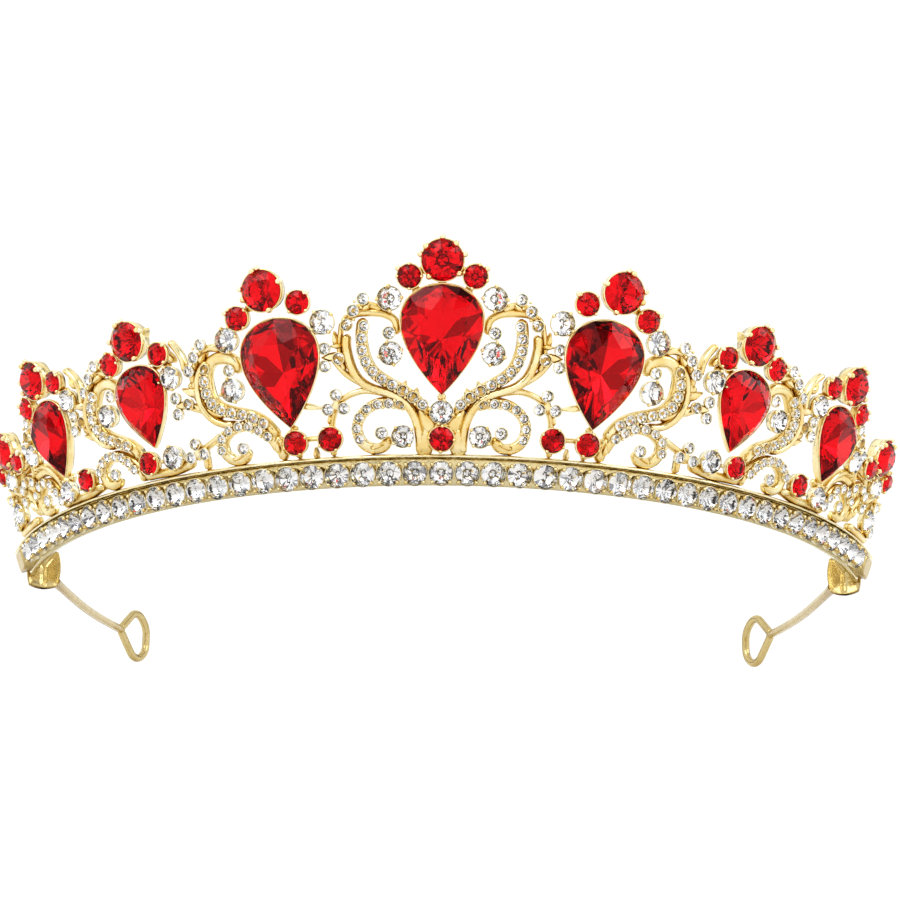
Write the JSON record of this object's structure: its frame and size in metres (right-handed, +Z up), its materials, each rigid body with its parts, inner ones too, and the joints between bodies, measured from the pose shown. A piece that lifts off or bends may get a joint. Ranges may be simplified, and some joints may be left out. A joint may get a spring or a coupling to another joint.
{
  "type": "tiara",
  "caption": "Openwork tiara of gilt metal with pear-shaped red stones, small clear stones, and a wire arm with an eye at each end for hair pins.",
  "frame": {"origin": "middle of the overall outline, at the height of the edge that the tiara rests on", "axes": "+X to the wearer's left along the widest extent, -Y towards the front, +Z up through the points of the tiara"},
  "size_m": [0.1574, 0.1408, 0.0385],
  "materials": {
    "gold": "polished gilt plating, pale yellow",
    "gold_wire": "polished gilt wire, paler than the openwork",
    "red_stone": "faceted, polished",
    "clear_stone": "faceted, polished, foil-backed"
  },
  "bodies": {
    "root": {"band_cups": "gold", "band_rail": "gold", "band_stones": "clear_stone", "band_strip": "gold", "clear_stones_centre": "clear_stone", "clear_stones_end_left": "clear_stone", "clear_stones_end_right": "clear_stone", "clear_stones_first_left": "clear_stone", "clear_stones_first_right": "clear_stone", "clear_stones_second_left": "clear_stone", "clear_stones_second_right": "clear_stone", "clear_stones_third_left": "clear_stone", "clear_stones_third_right": "clear_stone", "end_loop_left": "gold_wire", "end_loop_right": "gold_wire", "end_tab_left": "gold", "end_tab_right": "gold", "pear_setting_centre": "gold", "pear_setting_first_left": "gold", "pear_setting_first_right": "gold", "pear_setting_second_left": "gold", "pear_setting_second_right": "gold", "pear_setting_third_left": "gold", "pear_setting_third_right": "gold", "pear_stone_centre": "red_stone", "pear_stone_first_left": "red_stone", "pear_stone_first_right": "red_stone", "pear_stone_second_left": "red_stone", "pear_stone_second_right": "red_stone", "pear_stone_third_left": "red_stone", "pear_stone_third_right": "red_stone", "red_stones_centre": "red_stone", "red_stones_end_left": "red_stone", "red_stones_end_right": "red_stone", "red_stones_first_left": "red_stone", "red_stones_first_right": "red_stone", "red_stones_second_left": "red_stone", "red_stones_second_right": "red_stone", "red_stones_third_left": "red_stone", "red_stones_third_right": "red_stone", "scrollwork_centre": "gold", "scrollwork_end_left": "gold", "scrollwork_end_right": "gold", "scrollwork_first_left": "gold", "scrollwork_first_right": "gold", "scrollwork_second_left": "gold", "scrollwork_second_right": "gold", "scrollwork_third_left": "gold", "scrollwork_third_right": "gold", "stone_cups_centre": "gold", "stone_cups_end_left": "gold", "stone_cups_end_right": "gold", "stone_cups_first_left": "gold", "stone_cups_first_right": "gold", "stone_cups_second_left": "gold", "stone_cups_second_right": "gold", "stone_cups_third_left": "gold", "stone_cups_third_right": "gold"}
  },
  "joints": []
}
